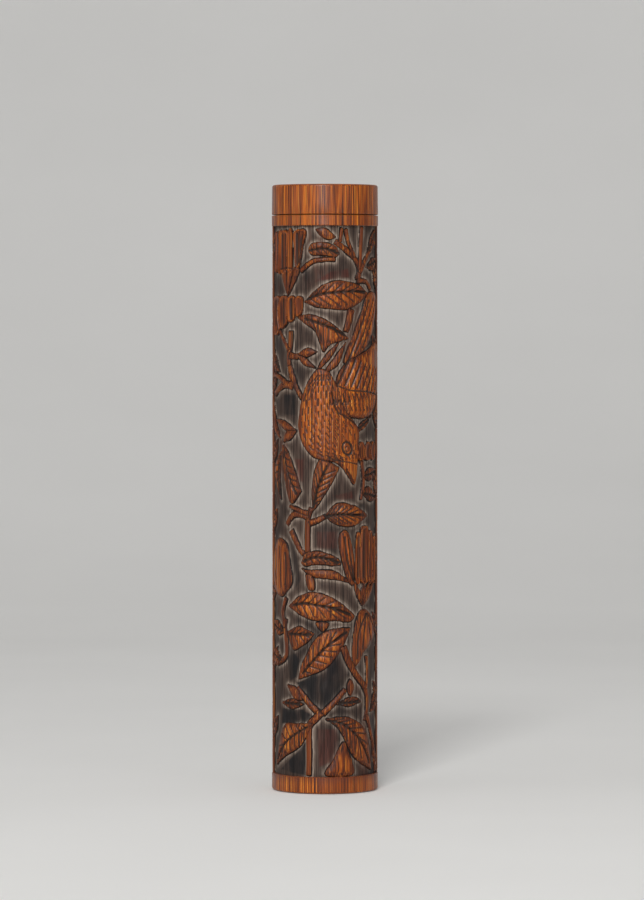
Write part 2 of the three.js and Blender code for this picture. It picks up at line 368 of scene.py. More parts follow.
def carve_middle_leaves():
    leaf((-8.2, 184), (19.4, 187.4), [(-4, 188), (0, 190.5), (5, 191.8), (10, 191.3), (15, 190)],
         [(-3, 182.2), (3, 181.5), (8, 181.2), (12, 182.5), (16, 184.5)], [(-7, 184.8), (-2, 186.8),
         (5, 187.6), (12, 188), (18, 187.6)], 7)
    leaf((-11, 178), (9.6, 170.4), [(-9, 179), (-5, 179), (0, 177.3), (5, 174)], [(-8, 176), (-4, 173.5),
         (-2, 169), (-0.5, 165.6), (2, 168.2)], [(-8, 177.7), (-3, 176.3), (2, 174.5), (8, 171.4)], 6)
    stem([(11, 181), (9.8, 177), (8.5, 173)], 2.4)


def carve_tail():
    petal([(7.6, 161.4), (12, 172), (16, 180), (20, 187), (27, 186.4), (25, 176), (19, 167.6),
           (14, 164.2)], 1.35, crowned,
          [[(10, 163.5), (15, 174), (20, 184.5)], [(12.5, 165), (18, 175), (23, 185)],
           [(16, 167), (21, 176), (25.5, 184.5)]])
    leaf((-3.6, 157.6), (5.6, 169), [(-1, 162.4), (2, 165.8)], [(0, 161), (3, 164.4)], level=1.2)
    leaf((-0.5, 157.5), (8.4, 168.8), [(4, 163.5)], [(5, 160.6)], level=1.3)


def carve_wing():
    petal([(4, 150), (5, 156), (8.5, 161), (14, 163.6), (20, 166), (28, 168.5), (29.5, 158), (28, 148),
           (22, 142), (15, 140.5), (8, 142.6)], 1.36, crowned)
    for i in range(8):
        s = 5.2 + 2.7 * i
        z = 153.4 - 0.5 * i
        groove([(s, z), (s + 2.2, z + 4.4), (s + 4.6, z + 9.5 - 0.2 * i)], 0.95, 0.6)
    groove(curve([(4.6, 152.8), (10, 151), (18, 150.4), (28, 149)]), 0.7, 0.42)
    for i in range(11):
        s = 7.0 + 2.0 * i
        groove([(s, 149.6), (s + 1.2, 146.6)], 0.7, 0.42)
        groove([(s + 0.9, 145.8), (s + 2.0, 143.4)], 0.6, 0.36)


def carve_bird():
    body = [(-3, 158.6), (-6, 155), (-8, 151.5), (-9.5, 147), (-10.3, 143), (-10.8, 138), (-10.3, 134.5),
            (-9, 131), (-6.5, 128), (-4, 126), (0, 125), (4, 124.3), (7, 122), (9.5, 119), (12, 115.8),
            (13.2, 119), (13.5, 122), (13.8, 126), (14, 131), (14.4, 135), (12.8, 138.4), (9, 142),
            (6, 147), (4.4, 153), (1, 158)]
    petal(body, 1.4, lambda level: crowned(level, 2.2))
    back = curve([(-3.4, 157), (-8, 151), (-10, 143), (-10.4, 136), (-7.6, 129.6), (-2, 126), (4, 124.6),
                  (8, 121.6)])
    breast = curve([(1.6, 157), (4.2, 152), (6, 146), (9, 141.4), (13, 137), (13.8, 131), (13.6, 126),
                    (13, 122)])
    for row in range(1, 13):
        across = row / 13
        flow = []
        for k in range(61):
            s0, z0 = along(back, k / 60)
            s1, z1 = along(breast, k / 60)
            flow.append((s0 + (s1 - s0) * across, z0 + (z1 - z0) * across))
        for start in range(1 + 3 * (row % 2), 52, 6):
            s, z = flow[start + 2]
            if math.hypot(s - 8.8, z - 129.3) > 3.4:
                groove(flow[start:start + 4], 0.55, 0.34)
    for i in range(4):
        s = 1.6 + 2.0 * i
        groove(curve([(s, 147.4), (s + 1, 145.6), (s + 2, 147.4)]), 0.5, 0.3)
    groove(curve([(12.4, 138.6), (8, 141.4), (4.6, 143.4), (2.6, 150)]), 0.7, 0.45)
    groove(curve([(8.6, 121.4), (10.4, 118.6), (12, 116.6)]), 0.5, 0.5)
    groove(curve([(3, 124.9), (7.4, 124.4), (13.2, 123.4)]), 0.55, 0.35)
    ring = [(8.8 + 1.95 * math.cos(a) - 0.4 * math.sin(a), 129.3 + 2.4 * math.sin(a))
            for a in (math.tau * i / 20 for i in range(20))]
    groove(ring + ring[:1], 1.1, 0.6)
    pupil = [(8.75 + 0.85 * math.cos(a), 129.1 + 1.0 * math.sin(a))
             for a in (math.tau * i / 14 for i in range(14))]
    groove(pupil + pupil[:1], 0.45, 0.35)


def carve_shoulder_leaf():
    leaf((13.2, 135.4), (23, 141.6), [(16, 138.6)], [(18, 137)], [(14.5, 136.6), (21.5, 140.4)], 3)
    for i in range(3):
        s = 14.6 + 4 * i
        petal([(s, 125), (s - 0.8, 128.5), (s + 1.2, 131.6), (s + 3.2, 129), (s + 2.8, 125.4)], 1.2)
    stem([(16, 124.4), (17.2, 117), (15.6, 110)], 1.4)
    leaf((17, 118.5), (28, 121), [(21, 121.5)], [(22, 117)], [(18, 118.8), (26.5, 120.4)], 4)
    leaf((16.4, 112.4), (29, 110), [(21, 114.6)], [(22, 109.2)], [(17.6, 112.2), (27, 110.8)], 5)


def carve_left_stems():
    stem([(-14.8, 173), (-15, 168), (-15.8, 164), (-15.5, 160), (-14.5, 156), (-13.5, 152)], 1.9)
    stem([(-15.8, 166), (-19, 170), (-21.4, 173)], 1.5)
    stem([(-15, 164), (-12.5, 163.6), (-10.2, 164)], 2.0)
    leaf((-11, 164.6), (-3.2, 165.4), [(-7, 166.6)], [(-7, 163.6)])
    leaf((-11, 163.8), (-3.8, 159.4), [(-8, 163)], [(-8.4, 160.6)])
    stem([(-15.2, 160), (-13.4, 155.5), (-12.2, 152.4), (-9.4, 148)], 1.7)
    stem([(-13.8, 152.4), (-18, 153.2), (-22, 151.6), (-27, 149.4)], 2.4)
    stem([(-18, 154), (-23, 156), (-29, 156.6)], 1.6)
    leaf((-22, 158), (-29, 166), [(-25, 163)], [(-27, 159)], [(-23, 159.4), (-28, 164)], 4)
    leaf((-12, 136), (-25, 140), [(-18, 139.2)], [(-18, 136.2)])
    leaf((-12, 135.6), (-19, 131.6), [(-17, 135.4)], [(-15, 132.6)])
    leaf((-19.6, 130.4), (-9.8, 113.2), [(-16, 127.4), (-13.4, 122), (-11.4, 117.5)], [(-19.4, 124),
         (-18, 118), (-16.4, 112), (-14, 108.6)], [(-18.6, 129), (-16, 120), (-12, 112.4)], 6)
    leaf((-20.6, 128), (-21, 110), [(-22, 120)], [(-26.5, 121)], [(-21, 126), (-23, 119), (-21.6, 112)],
         5)
    leaf((-28, 145), (-21.6, 133), [(-25, 138)], [(-27, 136)])


def carve_centre_leaves():
    leaf((-4.6, 106), (-1.6, 126), [(-5.2, 112), (-4.6, 118), (-3.4, 122.5)], [(-1.6, 110), (1.4, 114.5),
         (4, 119)], [(-4.4, 107.6), (-2.6, 115), (0.8, 122.6)], 6, cut_tip=(5.6, 122))
    stem([(-7, 90), (-7, 98), (-6.8, 103), (-5.4, 107)], 1.9)
    stem([(-7, 104), (-11, 104.7), (-14, 104), (-16.8, 100.6)], 2.2)
    stem([(-7, 105), (-11, 106.2), (-15.4, 107.6)], 1.3)
    stem([(-6, 101.4), (-2.6, 102.6), (0.4, 104)], 1.8)
    leaf((0, 104), (19.6, 104), [(3, 107.5), (6, 108.8), (10, 108.2), (14, 107)], [(4, 101.2), (8, 100.3),
         (12, 100.3), (16, 102)], [(0.5, 103.9), (6, 104.6), (15, 104.2)], 7)
    stem([(-14.6, 98.4), (-12.5, 95), (-10, 91), (-7.6, 89)], 1.9)
    leaf((-9.6, 86.4), (6.2, 85.8), [(-8, 89.5), (-4, 90.7), (0, 90.2), (5, 88)], [(-8, 85.4), (-4, 86),
         (0, 86), (3, 85.6)], [(-8.6, 87), (-4, 88.6), (1, 88), (5.4, 86.6)], 6)
    leaf((-9.4, 84.4), (10.2, 79), [(-7, 83.6), (-3, 83.8), (2, 83.6), (5, 82.8)], [(-7, 82.6),
         (-4, 81.2), (0, 80.8), (5, 80.2)])
    petal([(-7.6, 81.8), (-4.9, 81), (-4.1, 76.8), (-6.6, 76.8)], 1.2, crowned)


def carve_right_flower():
    petal([(12, 78.5), (9.4, 80), (7, 87), (5.7, 93), (6, 97), (8, 98.5), (9.8, 96.6), (12, 88)], 1.3,
          crowned, [[(11.4, 80), (8.8, 88), (7.8, 96)], [(12, 80), (10.4, 88), (9.6, 95)]])
    for left, right, top in ((13, 15, 97.6), (15.4, 19.6, 99.8), (20, 22.6, 98), (23, 25.4, 96)):
        petal([(left, 79.5), (left - 0.2, 89), (left + 0.3, top - 1), ((left + right) / 2, top),
               (right - 0.2, top - 1), (right, 89), (right - 0.4, 79.5)], 1.32,
              grooves=[[((left + right) / 2, 81), ((left + right) / 2, top - 1.5)]])
    for s in (12.4, 17.4, 21.2, 24.6):
        leaf((16.4, 69.8), (s, 79), [((16.4 + s) / 2 - 1.4, 75)], [((16.4 + s) / 2 + 1.5, 74.2)])
    petal([(15, 68), (12.5, 62), (11.4, 55), (11.8, 48), (14, 48.5), (17, 52.5), (22, 56), (25.4, 59.5),
           (24.4, 64), (19, 68.4)], 1.25, crowned,
          [[(18, 67), (14.4, 60), (13.4, 50.5)], [(18.4, 67), (17, 60), (16.4, 54)],
           [(19, 67), (20.4, 61), (21.4, 57.4)], [(19.6, 67), (23, 63), (24.4, 60.4)]])


def carve_lower_leaves():
    leaf((-15.8, 70), (12.4, 66.4), [(-11, 73.5), (-6, 75.3), (-2, 75), (3, 73.3), (8, 70)], [(-11, 67.5),
         (-7, 65.8), (-3, 65), (4, 65), (10, 64.5)], [(-13, 70.5), (-8, 71.3), (-2, 70.5), (4, 69.3),
         (10, 67)], 7)
    leaf((-16.4, 60.4), (-4.4, 60), [(-11, 62.4), (-7, 61.2)], [(-13.5, 54), (-10, 55), (-6.5, 57.4)],
         [(-15, 59.6), (-5.6, 59.6)], 4)
    leaf((-10.9, 42.8), (10.2, 61.8), [(-9.5, 48), (-7, 52.5), (-4, 57.5), (0, 60.5), (5, 61.9)],
         [(-6, 44.5), (0, 47), (4, 51), (7, 55)], [(-9, 45), (-4, 50.5), (1, 55.5), (8.6, 60.4)], 7)
    petal([(-3.6, 64), (1, 64), (1, 62.6), (-1, 61)], 1.0, crowned)
    stem([(7.5, 55), (10, 49), (14, 43.5), (18, 39.5), (19.6, 34), (18.5, 27)], 2.3)
    stem([(19, 51), (19.6, 44), (18.6, 39)], 1.4)


def carve_left_mass():
    petal([(-17, 93), (-15, 85), (-14, 81), (-14.5, 78), (-17, 75.5), (-21, 73.5), (-27, 77), (-28, 88),
           (-23, 95)], 1.2, crowned, [[(-17.6, 90), (-17, 84), (-17.6, 78)],
                                      [(-21, 92), (-20.6, 84), (-20.4, 77)],
                                      [(-24.6, 91), (-24.6, 84), (-23.6, 78)]])
    stem([(-17.6, 65), (-18, 62), (-17, 55), (-17.5, 51), (-21.4, 48.6)], 1.8)
    stem([(-17.4, 73), (-19.4, 68), (-18.4, 62)], 1.5)
    leaf((-19, 60), (-29, 64), [(-23, 64)], [(-24, 59)], [(-20, 60.4), (-27.4, 62.8)], 4)
    leaf((-20, 49), (-29.5, 53), [(-24, 53)], [(-25, 47.4)], [(-21, 49.4), (-28, 51.8)], 4)


def carve_foot_branch():
    stem([(-2, 30), (-6, 33.5), (-9, 37), (-11.4, 39.6)], 1.9)
    leaf((-16.6, 40.4), (-9.4, 35), [(-12, 39.4)], [(-13, 35.6)])
    leaf((-20, 33.6), (-9, 33.4), [(-14, 35.2)], [(-14, 31.6)], [(-18, 33.6), (-10.4, 33.4)], 4)
    stem([(-1, 30), (4, 34.6), (8.2, 39)], 1.9)
    leaf((4.6, 33.6), (15.6, 34.2), [(9, 35.6), (13, 35.8)], [(10, 32.8)], [(5.6, 33.8), (14.4, 34.4)], 4)
    petal([(10.5, 36.6), (9, 39.5), (10.4, 42.6), (12, 40)], 1.25, crowned)
    stem([(-1.6, 30.4), (-3.4, 28.4), (-6, 26), (-6.5, 22), (-6.3, 15), (-6.6, 7)], 2.2)
    leaf((-5.4, 26.2), (-24.6, 9.8), [(-12, 25.9), (-19, 24.4)], [(-9, 19), (-13, 16), (-18, 13.6)],
         [(-7, 25), (-13, 21.6), (-18, 18), (-23, 12.4)], 7)
    leaf((0.4, 28), (22.4, 8.2), [(8, 28.6), (12, 27.4), (17, 24.5), (20, 19)], [(5, 25), (8, 20.5),
         (11, 15), (15, 11.5)], [(2, 27.4), (7, 26.2), (11, 23.4), (15, 19.6), (20.6, 11.4)], 7)
    petal([(7.4, 19.2), (3, 12), (0.4, 7), (11.4, 7), (11.4, 11.4), (9.6, 15)], 1.15, crowned)
    leaf((22, 30), (30, 38), [(25, 36)], [(27, 31)], [(23, 31.4), (28.6, 36.4)], 4)
    stem([(19.2, 29), (22.4, 22), (26, 14), (27, 7)], 1.7)


def carve_side_vine():
    """A climbing stem with leaves to either hand, where the front and the back scenes meet."""
    heights = np.linspace(FIELD_BOTTOM - 1, FIELD_TOP + 1, 17)
    stem([(0.7 * math.sin(0.9 * i), float(z)) for i, z in enumerate(heights)], 3.0, 1.4)
    for i, z in enumerate(heights[:-1]):
        hand = 1 if i % 2 else -1
        s = 0.7 * math.sin(0.9 * i)
        tip = (s + hand * 7.0, float(z) + 10)
        leaf((s, float(z) + 1), tip, [(s + hand * 1.6, float(z) + 7.6)],
             [(s + hand * 5.6, float(z) + 4.2)], [(s + hand * 0.8, float(z) + 2.4),
             (s + hand * 6, float(z) + 8.6)], 4, 1.3)


def mark_ground_tints():
    """Where the ground is coloured darker, near black, or shows red-brown wood."""
    tint_ground([(-13, 41.6), (-4, 31.4), (-1, 30.4), (8.6, 39), (11, 45), (7, 54), (1, 50), (-4, 46),
           (-9, 43)], 0.0)
    tint_ground([(-21, 32), (-9, 32), (-3, 29), (-8, 26), (-21, 25)], 0.05)
    tint_ground([(-23, 8), (-7.2, 6), (-7.2, 21), (-13, 15)], 0.05)
    tint_ground([(-18, 52), (-12.4, 53), (-10, 50), (-11.4, 43), (-16, 41)], 0.1)
    tint_ground([(13, 100), (20, 102), (19, 110), (13, 108)], 0.2)
    tint_ground([(-20, 150), (-12, 150), (-12, 141), (-20, 141)], 0.12)
    tint_ground([(-17, 98), (-12, 93), (-9, 80), (-13, 75), (-17, 84)], 0.25)
    tint_ground([(-6, 191), (2, 196), (10, 197), (11, 192.6), (2, 191.6)], 0.9)
    tint_ground([(-4, 25), (6, 25), (6, 12), (-3, 9)], 0.8)
    tint_ground([(2, 112), (12, 114), (13, 110), (6, 109)], 0.85)
    tint_ground([(-14, 126), (-8, 126), (-8, 116), (-12, 116)], 0.8)
    tint_ground([(-4, 99), (6, 99), (6, 91), (-4, 91)], 0.75)


def carve_scene():
    """One side's branches, flowers and bird, from the furthest back to the nearest."""
    mark_ground_tints()
    carve_left_mass()
    carve_upper_flower()
    carve_top_twigs()
    carve_middle_leaves()
    carve_left_stems()
    carve_centre_leaves()
    carve_right_flower()
    carve_lower_leaves()
    carve_foot_branch()
    carve_tail()
    carve_wing()
    carve_shoulder_leaf()
    carve_bird()


def carve_all_round():
    """The vine at each side first, then the same scene on the front and on the back."""
    for centre in (GIRTH / 4, -GIRTH / 4):
        side["centre"] = centre
        carve_side_vine()
    for centre in (0.0, GIRTH / 2):
        side["centre"] = centre
        carve_scene()


def ground_waves():
    """The ground is scraped by hand, so its depth wavers a little."""
    wave = 0.05 * np.sin(grid_z * 0.55 + 2.1 * np.sin(grid_s * 0.31))
    return wave + 0.04 * np.sin(grid_s * 1.7 + np.sin(grid_z * 0.23) * 3)


def make_carved_skin(material):
    """The carved surface of the case, in sections of its height, each closed at its back."""
    height = np.clip(relief, 0, GROUND_DEPTH)
    height = np.where(height < 0.05, GROUND_LEVEL + ground_waves(), height)
    radius = CASE_RADIUS - GROUND_DEPTH + np.minimum(height, GROUND_DEPTH - 0.03)
    angle = (grid_s + shift_s) / CASE_RADIUS
    level = np.clip(grid_z + shift_z, FIELD_BOTTOM, FIELD_TOP)
    level[0] = FIELD_BOTTOM
    level[-1] = FIELD_TOP
    places = np.stack([radius * np.sin(angle), -radius * np.cos(angle), level], axis=-1) * MM
    across = np.roll(places, -1, axis=1) - np.roll(places, 1, axis=1)
    upward = np.gradient(places, axis=0)
    normals = np.cross(across, upward)
    normals /= np.maximum(np.linalg.norm(normals, axis=-1, keepdims=True), 1e-12)
    # Per point for the material: standing height, nearness to an edge, cut and ground tint; painted shade
    # is made from the first three.
    marks = np.stack([np.clip(relief / GROUND_DEPTH, 0, 1), nearest / HALO, np.clip(cuts, 0, 1),
                      ground_tints], axis=-1)
    back_angle = s_axis / CASE_RADIUS
    back = np.stack([SKIN_BACK * np.sin(back_angle), -SKIN_BACK * np.cos(back_angle)], axis=-1) * MM
    edges = np.linspace(0, rows - 1, SECTIONS + 1).astype(int)
    for index, (first, last) in enumerate(zip(edges, edges[1:])):
        front = places[first:last + 1]
        ends = [np.concatenate([back, np.full((columns, 1), z)], axis=1)
                for z in (front[-1, :, 2].mean(), front[0, :, 2].mean())]
        points = np.concatenate([front, np.stack(ends)])
        count = len(points)
        rings = np.arange(count * columns).reshape(count, columns)
        above = np.roll(rings, -1, axis=0)
        beside = np.roll(rings, -1, axis=1)
        corner = np.roll(above, -1, axis=1)
        faces = np.stack([rings, beside, corner, above], axis=-1).reshape(-1, 4)
        mesh = bpy.data.meshes.new(f"carving_{index + 1}")
        mesh.vertices.add(count * columns)
        mesh.vertices.foreach_set("co", points.reshape(-1))
        mesh.loops.add(faces.size)
        mesh.loops.foreach_set("vertex_index", faces.reshape(-1))
        mesh.polygons.add(len(faces))
        mesh.polygons.foreach_set("loop_start", np.arange(0, faces.size, 4))
        mesh.update(calc_edges=True)
        mesh.validate()
        colours = np.concatenate([marks[first:last + 1], np.zeros((2, columns, 4))])
        layer = mesh.color_attributes.new("carving", "FLOAT_COLOR", "POINT")
        layer.data.foreach_set("color", colours.reshape(-1))
        mesh.shade_smooth()
        inward = np.concatenate([-back, np.zeros((columns, 1))], axis=1)
        facing = np.concatenate([normals[first:last + 1], np.stack([inward, inward])]).reshape(-1, 3)
        mesh.normals_split_custom_set_from_vertices(facing.tolist())
        piece = add_object(mesh.name, mesh)
        finish_piece(piece, "case_tube", "case", material, smooth_angle=0)


# Materials

def srgb(red, green, blue):
    """A colour as it looks on a screen, made linear."""
    shares = [value / 255 for value in (red, green, blue)]
    linear = [share / 12.92 if share <= 0.04 else ((share + 0.055) / 1.055) ** 2.4 for share in shares]
    return (*linear, 1.0)


def set_inputs(node, values):
    for name, value in values.items():
        node.inputs[name].default_value = value


class Finish:
    """A material under construction, with short names for the nodes that this object needs."""

    def __init__(self, name, roughness=0.5, coat=0.0):
        self.material = bpy.data.materials.new(name)
        self.material.use_nodes = True
        self.nodes = self.material.node_tree.nodes
        self.links = self.material.node_tree.links
        self.shader = self.nodes["Principled BSDF"]
        set_inputs(self.shader, {"Roughness": roughness, "Specular IOR Level": 0.32,
                                 "Coat Weight": coat, "Coat Roughness": 0.25})
        self.coordinates = self.nodes.new("ShaderNodeTexCoord").outputs["Object"]

    def noise(self, across, upward, detail=3.0, roughness=0.55, sideways=None):
        """Noise with so many grains to the metre, across and up the case, and sideways if that differs."""
        mapping = self.nodes.new("ShaderNodeMapping")
        set_inputs(mapping, {"Scale": (sideways or across, across, upward)})
        self.links.new(self.coordinates, mapping.inputs["Vector"])
        texture = self.nodes.new("ShaderNodeTexNoise")
        set_inputs(texture, {"Scale": 1.0, "Detail": detail, "Roughness": roughness})
        self.links.new(mapping.outputs["Vector"], texture.inputs["Vector"])
        return texture.outputs["Fac"]

    def ramp(self, factor, stops):
        """The colours of some stops, picked by a factor."""
        node = self.nodes.new("ShaderNodeValToRGB")
        elements = node.color_ramp.elements
        while len(elements) < len(stops):
            elements.new(0.5)
        for element, (place, colour) in zip(elements, stops):
            element.position = place
            element.color = srgb(*colour)
        self.links.new(factor, node.inputs["Fac"])
        return node.outputs["Color"]

    def value(self, factor, low, high, out_low=0.0, out_high=1.0):
        """A factor's range spread softly over another range."""
        node = self.nodes.new("ShaderNodeMapRange")
        node.interpolation_type = "SMOOTHSTEP"
        set_inputs(node, {"From Min": low, "From Max": high, "To Min": out_low, "To Max": out_high})
        self.links.new(factor, node.inputs["Value"])
        return node.outputs["Result"]

    def height(self):
        """The level of a point above the foot, in metres."""
        split = self.nodes.new("ShaderNodeSeparateXYZ")
        self.links.new(self.coordinates, split.inputs["Vector"])
        return split.outputs["Z"]

    def combine(self, operation, first, second):
        node = self.nodes.new("ShaderNodeMath")
        node.operation = operation
        self.links.new(first, node.inputs[0])
        self.links.new(second, node.inputs[1])
        return node.outputs["Value"]

    def mix(self, factor, first, second, blend="MIX"):
        node = self.nodes.new("ShaderNodeMix")
        node.data_type = "RGBA"
        node.blend_type = blend
        for socket, given in ((node.inputs[0], factor), (node.inputs[6], first), (node.inputs[7], second)):
            if isinstance(given, bpy.types.NodeSocket):
                self.links.new(given, socket)
            else:
                socket.default_value = srgb(*given) if isinstance(given, tuple) else given
        return node.outputs[2]

    def bump(self, height, distance, strength=0.5, normal=None):
        node = self.nodes.new("ShaderNodeBump")
        set_inputs(node, {"Distance": distance * MM, "Strength": strength})
        self.links.new(height, node.inputs["Height"])
        if normal:
            self.links.new(normal, node.inputs["Normal"])
        return node.outputs["Normal"]

    def done(self, colour, normal=None, roughness=None):
        self.links.new(colour, self.shader.inputs["Base Color"])
        if normal:
            self.links.new(normal, self.shader.inputs["Normal"])
        if roughness:
            self.links.new(roughness, self.shader.inputs["Roughness"])
        return self.material


FIBRES = 3300.0
FIBRE_LENGTH = 22.0


def old_bamboo_colour(finish):
    """Red-brown culm skin: fine upright fibres over slow changes of tone."""
    fine = finish.noise(FIBRES, FIBRE_LENGTH, 2.5, 0.6)
    colour = finish.ramp(fine, [(0.36, (38, 14, 4)), (0.45, (102, 43, 5)), (0.52, (158, 72, 6)),
                                (0.59, (202, 104, 10)), (0.68, (236, 160, 58))])
    tone = finish.noise(110.0, 14.0, 3.0)
    colour = finish.mix(finish.value(tone, 0.35, 0.7, 0.0, 0.45), colour, (96, 38, 6), "MIX")
    return colour, fine


def make_band_bamboo():
    """Plain handled bamboo, with painted shade darkening the top of the foot band."""
    finish = Finish("oiled_bamboo", 0.4, 0.3)
    colour, fine = old_bamboo_colour(finish)
    rough = finish.value(finish.noise(300.0, 60.0), 0.3, 0.7, 0.32, 0.5)
    # Painted shade: the upper part of the foot band is mixed toward dark red-brown, and its lower edge is
    # left bright.
    low = finish.value(finish.height(), FOOT_BAND * MM, FOOT_BAND * 0.45 * MM, 0.55, 0.0)
    foot = finish.value(finish.height(), (FOOT_BAND + 3) * MM, FOOT_BAND * MM, 0.0, 1.0)
    colour = finish.mix(finish.combine("MULTIPLY", low, foot), colour, (84, 34, 20))
    return finish.done(colour, finish.bump(fine, 0.12, 0.6), rough)


def make_carved_bamboo():
    """Handled bamboo on what stands, darker where it stands lower as painted shade; dust and dark and
    red-brown patches on the ground; painted shade at the foot of each edge and in the cuts.
    """
    finish = Finish("carved_bamboo", 0.45, 0.1)
    colour, fine = old_bamboo_colour(finish)
    attribute = finish.nodes.new("ShaderNodeAttribute")
    attribute.attribute_name = "carving"
    split = finish.nodes.new("ShaderNodeSeparateColor")
    finish.links.new(attribute.outputs["Color"], split.inputs["Color"])
    standing, near, cut = (split.outputs[name] for name in ("Red", "Green", "Blue"))
    ragged = finish.noise(420.0, 150.0, 4.0)
    near = finish.combine("ADD", near, finish.value(ragged, 0.25, 0.75, -0.05, 0.12))
    # The ground by distance from the nearest edge: a dark line at the foot of each edge is painted shade,
    # then a pale halo of dust gives way to darker ground.
    ground = finish.ramp(near, [(0.0, (20, 13, 10)), (0.13, (38, 28, 23)), (0.21, (172, 157, 144)),
                                (0.38, (138, 123, 112)), (0.60, (98, 83, 74)), (1.0, (80, 64, 56))])
    streak = finish.ramp(fine, [(0.38, (120, 110, 104)), (0.5, (205, 198, 192)),
                                (0.62, (255, 252, 248))])
    patch = finish.value(finish.noise(70.0, 34.0, 4.0), 0.52, 0.68, 0.0, 0.75)
    ground = finish.mix(patch, ground, (38, 29, 29))
    warm = finish.value(finish.noise(95.0, 30.0, 3.0), 0.55, 0.7, 0.0, 0.6)
    ground = finish.mix(warm, ground, (98, 52, 34))
    ground_tint = attribute.outputs["Alpha"]
    mottle = finish.value(finish.noise(260.0, 60.0, 4.0), 0.3, 0.62, 0.35, 1.0)
    dark_part = finish.combine("MULTIPLY", finish.value(ground_tint, 0.46, 0.1, 0.0, 0.92), mottle)
    ground = finish.mix(dark_part, ground, (17, 17, 22))
    red_part = finish.combine("MULTIPLY", finish.value(ground_tint, 0.54, 0.9, 0.0, 0.75), mottle)
    ground = finish.mix(red_part, ground, (92, 38, 26))
    ground = finish.mix(1.0, ground, streak, "MULTIPLY")
    # Painted shade: what stands is darkened where it is lower, towards its edges and in its grooves.
    lower = finish.ramp(standing, [(0.0, (60, 46, 38)), (0.62, (140, 122, 110)),
                                   (0.88, (255, 255, 255))])
    raised = finish.mix(0.75, colour, lower, "MULTIPLY")
    surface = finish.mix(finish.value(standing, 0.25, 0.5), ground, raised)
    # Painted shade: the grooves and the cut beside an edge are darkened toward dark brown.
    surface = finish.mix(finish.value(cut, 0.25, 0.9, 0.0, 0.86), surface, (46, 32, 24))
    rough = finish.value(standing, 0.3, 0.85, 0.84, 0.34)
    normal = finish.bump(fine, 0.12, 0.6)
    normal = finish.bump(finish.noise(900.0, 260.0, 4.0), 0.10, 0.5, normal)
    return finish.done(surface, normal, rough)


def make_scraped_bamboo(name, light, dark, roughness):
    finish = Finish(name, roughness, 0.1)
    fine = finish.noise(FIBRES, FIBRE_LENGTH, 2.5, 0.6)
    colour = finish.ramp(fine, [(0.3, dark), (0.68, light)])
    return finish.done(colour, finish.bump(fine, 0.08, 0.5))


def make_dark_wood():
    finish = Finish("dark_wood", 0.62)
    grain = finish.noise(900.0, 900.0, 5.0, 0.5, sideways=60.0)
    colour = finish.ramp(grain, [(0.3, (44, 22, 14)), (0.55, (88, 46, 26)), (0.75, (120, 68, 38))])
    return finish.done(colour, finish.bump(grain, 0.1, 0.5))


def make_horn():
    finish = Finish("black_horn", 0.22, 0.3)
    cloud = finish.noise(160.0, 50.0, 4.0)
    colour = finish.ramp(cloud, [(0.35, (16, 13, 12)), (0.62, (46, 36, 30)), (0.8, (96, 76, 56))])
    return finish.done(colour, finish.bump(finish.noise(500.0, 30.0), 0.03, 0.3))


def make_hair(name, root, tip, roughness):
    finish = Finish(name, roughness)
    strands = finish.noise(2600.0, 16.0, 3.0, 0.7)
    colour = finish.ramp(strands, [(0.32, root), (0.66, tip)])
    return finish.done(colour, finish.bump(strands, 0.2, 0.8))


def make_thread():
    finish = Finish("waxed_thread", 0.7)
    turns = finish.noise(500.0, 2600.0, 2.0)
    return finish.done(finish.ramp(turns, [(0.3, (150, 120, 80)), (0.7, (214, 190, 146))]),
                       finish.bump(turns, 0.1, 0.5))


# The pieces of the case

def make_case_wall(material):
    """The culm behind the carving, with its foot and neck bands, its bore and the collar's seat."""
    seat = COLLAR_RADIUS + 0.15
    rebate = BASE_RADIUS + FIT
    profile = [(rebate, FOOT)]
    profile += arc(CASE_RADIUS - 0.8, FOOT + 0.8, 0.8, -90, 0)
    profile += [(CASE_RADIUS, FIELD_BOTTOM - 0.3), (CASE_RADIUS - 0.25, FIELD_BOTTOM),
                (SKIN_BACK - 0.3, FIELD_BOTTOM), (SKIN_BACK - 0.3, FIELD_TOP),
                (CASE_RADIUS - 0.2, FIELD_TOP), (CASE_RADIUS, FIELD_TOP + 0.25)]
    profile += arc(CASE_RADIUS - 0.25, MOUTH - 0.25, 0.25, 0, 90, 3)
    profile += [(seat, MOUTH), (seat, COLLAR_BOTTOM - FIT), (BORE, COLLAR_BOTTOM - FIT),
                (BORE, BASE_TOP + FIT), (rebate, BASE_TOP + FIT), (rebate, FOOT)]
    piece = turned("case_wall", profile, 192)
    finish_piece(piece, "case_tube", "case", material)


def make_lid(material, disc_material):
    socket = COLLAR_RADIUS + 0.15
    seat = DISC_RADIUS + FIT
    profile = [(socket, LID_BOTTOM)]
    profile += arc(CASE_RADIUS - 0.25, LID_BOTTOM + 0.25, 0.25, -90, 0, 3)
    profile += [(LID_RADIUS - 0.06, LID_BOTTOM + 4.5)]
    profile += arc(LID_RADIUS - 1.0, LID_TOP - 0.9, 0.9, 0, 90)
    profile += [(seat, LID_TOP), (seat, DISC_BOTTOM - FIT), (socket, DISC_BOTTOM - FIT),
                (socket, LID_BOTTOM)]
    finish_piece(turned("lid_wall", profile, 192), "lid_ring", "lid", material)
    disc = turned("lid_top", [(0, DISC_BOTTOM), (DISC_RADIUS, DISC_BOTTOM), (DISC_RADIUS, DISC_TOP),
                              (DISC_RADIUS - 2.6, DISC_TOP), (DISC_RADIUS - 3, DISC_TOP - 0.35),
                              (DISC_RADIUS - 3.4, DISC_TOP), (0, DISC_TOP)], 128, 0.12)
    finish_piece(disc, "lid_disc", "lid", disc_material)


